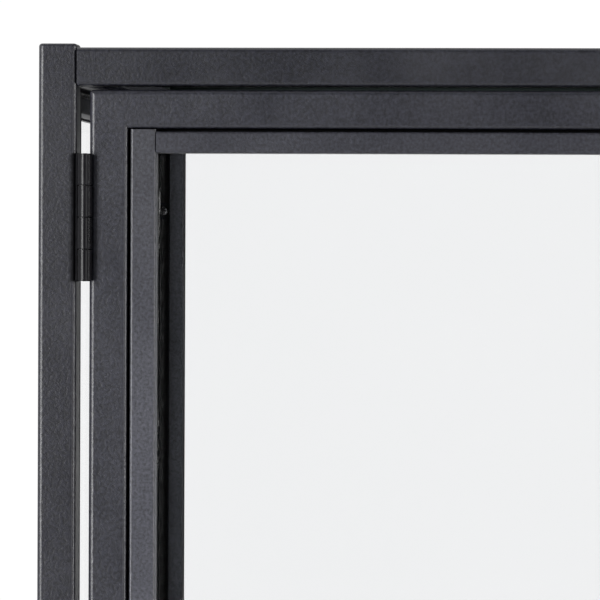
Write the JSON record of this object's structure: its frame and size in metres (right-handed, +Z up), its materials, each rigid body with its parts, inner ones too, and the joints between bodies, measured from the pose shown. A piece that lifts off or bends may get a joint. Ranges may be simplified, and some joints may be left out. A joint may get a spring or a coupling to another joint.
{
  "type": "glazed display case",
  "caption": "Small glazed display case of square steel tube, with a framed glass door hung in its front opening with a clear gap all round.",
  "frame": {"origin": "on the ground, under the centre of the whole object's box", "axes": "+Z up, +X to the right seen from the front, +Y from the door to the back"},
  "size_m": [0.41, 0.37, 0.6],
  "materials": {
    "charcoal_powder_coat": "fine textured satin powder coat",
    "gloss_black_paint": "gloss black paint",
    "blackened_screw": "blackened steel, semi-gloss",
    "bright_steel": "bright zinc-plated steel",
    "black_sealant": "matte black sealant and foam",
    "black_plastic": "moulded matte black plastic",
    "clear_glass": "clear float glass"
  },
  "bodies": {
    "carcass": {"base_panel": "charcoal_powder_coat", "catch_housing": "black_plastic", "catch_magnet": "bright_steel", "catch_pole_plates": "bright_steel", "catch_screws": "blackened_screw", "foot_glides": "black_plastic", "front_bottom_rail": "charcoal_powder_coat", "front_left_post": "charcoal_powder_coat", "front_right_post": "charcoal_powder_coat", "front_top_rail": "charcoal_powder_coat", "glazing_screws": "blackened_screw", "hinge_frame_screws": "gloss_black_paint", "left_bottom_rail": "charcoal_powder_coat", "left_flange": "charcoal_powder_coat", "left_glass": "clear_glass", "left_glazing_bars": "charcoal_powder_coat", "left_seal": "black_sealant", "left_top_rail": "charcoal_powder_coat", "lower_hinge_frame_leaf": "gloss_black_paint", "lower_hinge_pin": "gloss_black_paint", "post_caps": "charcoal_powder_coat", "rear_bottom_rail": "charcoal_powder_coat", "rear_flange": "charcoal_powder_coat", "rear_glass": "clear_glass", "rear_glazing_bars": "charcoal_powder_coat", "rear_left_post": "charcoal_powder_coat", "rear_right_post": "charcoal_powder_coat", "rear_seal": "black_sealant", "rear_top_rail": "charcoal_powder_coat", "right_bottom_rail": "charcoal_powder_coat", "right_flange": "charcoal_powder_coat", "right_glass": "clear_glass", "right_glazing_bars": "charcoal_powder_coat", "right_seal": "black_sealant", "right_top_rail": "charcoal_powder_coat", "top_flange": "charcoal_powder_coat", "top_glass": "clear_glass", "top_glazing_bars": "charcoal_powder_coat", "top_seal": "black_sealant", "upper_hinge_frame_leaf": "gloss_black_paint", "upper_hinge_pin": "gloss_black_paint"},
    "door": {"clip_screws": "blackened_screw", "door_bottom_bead": "charcoal_powder_coat", "door_bottom_rail": "charcoal_powder_coat", "door_glass": "clear_glass", "door_hinge_stile": "charcoal_powder_coat", "door_knob": "gloss_black_paint", "door_latch_stile": "charcoal_powder_coat", "door_left_bead": "charcoal_powder_coat", "door_right_bead": "charcoal_powder_coat", "door_seal": "black_sealant", "door_top_bead": "charcoal_powder_coat", "door_top_rail": "charcoal_powder_coat", "glass_clips": "charcoal_powder_coat", "hinge_door_screws": "gloss_black_paint", "knob_screw": "blackened_screw", "lower_hinge_door_leaf": "gloss_black_paint", "strike_plate": "bright_steel", "upper_hinge_door_leaf": "gloss_black_paint"}
  },
  "joints": [
    {"name": "door_swing", "type": "hinge", "parent": "carcass", "child": "door", "pos_m": [-0.1863, -0.1668, 0.3], "axis": [0, 0, -1], "range_deg": [0, 170]}
  ]
}
